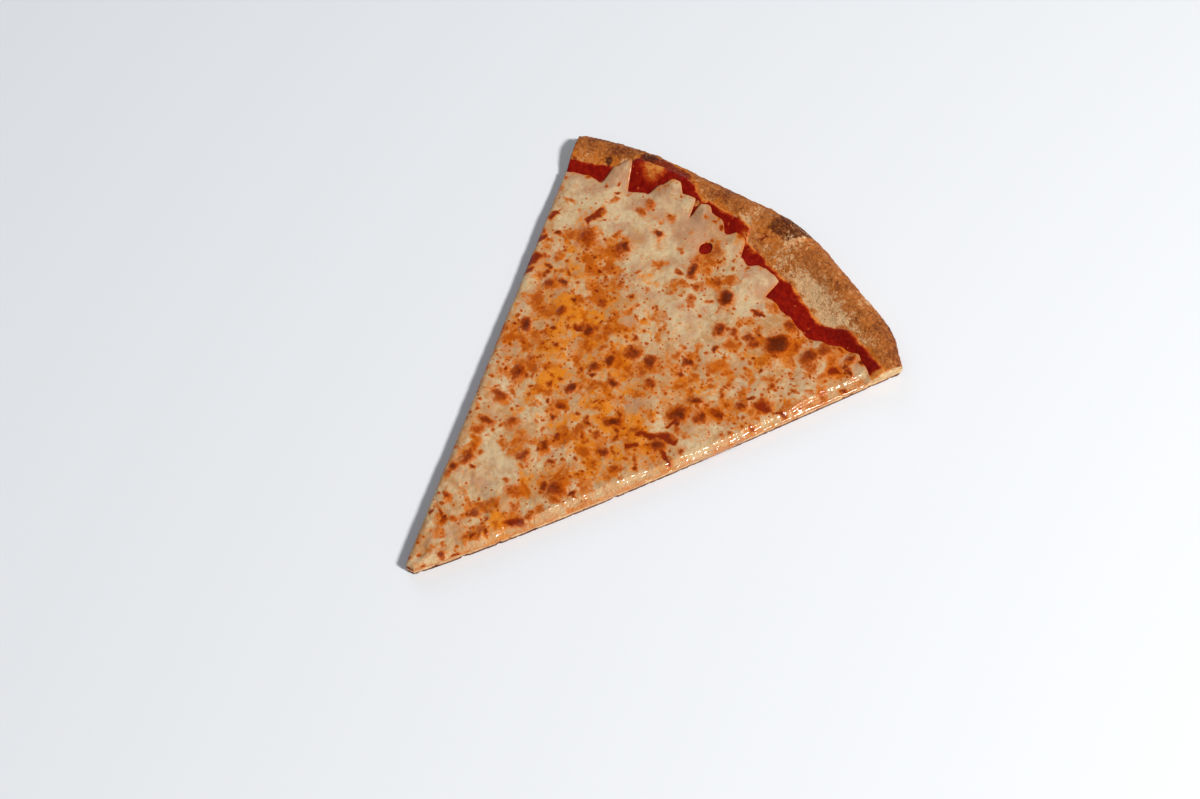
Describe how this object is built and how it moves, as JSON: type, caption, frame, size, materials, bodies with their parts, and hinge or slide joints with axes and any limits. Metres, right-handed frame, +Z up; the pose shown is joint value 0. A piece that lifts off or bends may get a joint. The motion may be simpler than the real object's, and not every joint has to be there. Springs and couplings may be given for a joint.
{
  "type": "cheese pizza slice",
  "caption": "Large flat wedge of thin-crust cheese pizza: browned raised rim, tomato sauce showing at the rim, and blistered melted cheese down to the point.",
  "frame": {"origin": "middle of the bounding box in plan, at the underside that rests on the table", "axes": "+Y from the point of the slice to the middle of its rim, +Z up, +X to the right seen from above with the rim away"},
  "size_m": [0.1996, 0.247, 0.0139],
  "materials": {
    "dough": "dry baked dough, pale at the cut and browned on the rim",
    "sauce": "wet, smooth tomato sauce",
    "cheese": "soft melted cheese with an oily sheen and browned blisters"
  },
  "bodies": {
    "root": {"dough": "dough", "sauce": "sauce", "cheese": "cheese"}
  },
  "joints": []
}
